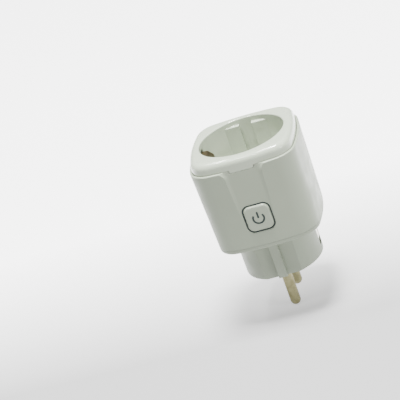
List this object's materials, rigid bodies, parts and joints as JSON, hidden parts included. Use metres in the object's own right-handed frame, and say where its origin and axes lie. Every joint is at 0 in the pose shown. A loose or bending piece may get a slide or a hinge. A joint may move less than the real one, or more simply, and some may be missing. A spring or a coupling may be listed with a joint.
{
  "type": "smart plug",
  "caption": "Plug-in switched socket adaptor: rounded-square housing, round recess with earth clips on top, front push button, two-pin plug below.",
  "frame": {"origin": "centre of the plug's end face, between the two pins", "axes": "+Z from the plug towards the socket's mouth, -Y towards the push button, pins point along -Z"},
  "size_m": [0.0506, 0.0504, 0.0835],
  "materials": {
    "shell_satin": "fine satin moulded plastic",
    "cover_gloss": "glossy moulded plastic",
    "base_satin": "fine satin moulded plastic",
    "button_satin": "fine satin moulded plastic",
    "icon_dark": "dark inlay",
    "light_guide": "dark translucent plastic",
    "pin_metal": "dull nickel-plated brass",
    "earth_metal": "spring bronze",
    "contact_metal": "bare brass",
    "inner_white": "moulded plastic",
    "shutter_plastic": "moulded plastic",
    "steel": "bright steel",
    "board": "solder-masked laminate",
    "component_black": "moulded epoxy",
    "component_blue": "coated component",
    "can": "sleeved aluminium can",
    "relay_housing": "moulded housing",
    "copper_wire": "enamelled copper",
    "led": "clear epoxy"
  },
  "bodies": {
    "housing": {"plug_base": "base_satin", "body_shell": "shell_satin", "socket_cover": "cover_gloss", "socket_floor": "inner_white", "shutter_retainer": "inner_white", "line_pin": "pin_metal", "neutral_pin": "pin_metal", "line_contact": "contact_metal", "neutral_contact": "contact_metal", "earth_strip_left": "earth_metal", "earth_strip_right": "earth_metal", "earth_bridge": "contact_metal", "main_board": "board", "wifi_board": "board", "wifi_shield": "steel", "button_board": "board", "switch_body": "component_black", "status_leds": "led", "input_capacitor": "can", "output_capacitor": "can", "filter_inductor": "copper_wire", "varistor": "component_blue", "fusible_resistor": "component_blue", "power_chip": "component_black", "metering_chip": "component_black", "relay_case": "relay_housing", "relay_base": "relay_housing", "relay_coil": "copper_wire", "relay_yoke": "steel", "relay_contact": "contact_metal", "light_ring": "light_guide", "socket_screws": "steel", "board_screws": "steel"},
    "button": {"power_button": "button_satin", "power_icon": "icon_dark"},
    "switch_plunger": {"switch_stem": "component_black"},
    "shutter": {"safety_shutter": "shutter_plastic", "shutter_spring": "steel"},
    "clip_left": {"earth_clip_left": "earth_metal"},
    "clip_right": {"earth_clip_right": "earth_metal"},
    "armature": {"relay_armature": "steel"}
  },
  "joints": [
    {"name": "button_press", "type": "slide", "parent": "housing", "child": "button", "axis": [0, 1, 0], "range_m": [0, 0.00035], "stiffness_N_per_m": 4000},
    {"name": "switch_press", "type": "slide", "parent": "housing", "child": "switch_plunger", "axis": [0, 1, 0], "range_m": [0, 0.00035]},
    {"name": "shutter_turn", "type": "hinge", "parent": "housing", "child": "shutter", "pos_m": [0, 0, 0.0437], "axis": [0, 0, 1], "range_deg": [0, 38], "stiffness_Nm_per_rad": 0.004, "springref_deg": -11.46},
    {"name": "clip_left_flex", "type": "hinge", "parent": "housing", "child": "clip_left", "pos_m": [-0.0217, 0, 0.0474], "axis": [0, -1, 0], "range_deg": [0, 12], "stiffness_Nm_per_rad": 0.3},
    {"name": "clip_right_flex", "type": "hinge", "parent": "housing", "child": "clip_right", "pos_m": [0.0217, 0, 0.0474], "axis": [0, 1, 0], "range_deg": [0, 12], "stiffness_Nm_per_rad": 0.3},
    {"name": "armature_tilt", "type": "hinge", "parent": "housing", "child": "armature", "pos_m": [-0.0152, 0.0012, 0.0363], "axis": [1, 0, 0], "range_deg": [0, 5], "stiffness_Nm_per_rad": 0.02, "springref_deg": -11.46}
  ],
  "couplings": [
    {"joint": "switch_press", "follows": "button_press", "ratio": 1}
  ]
}
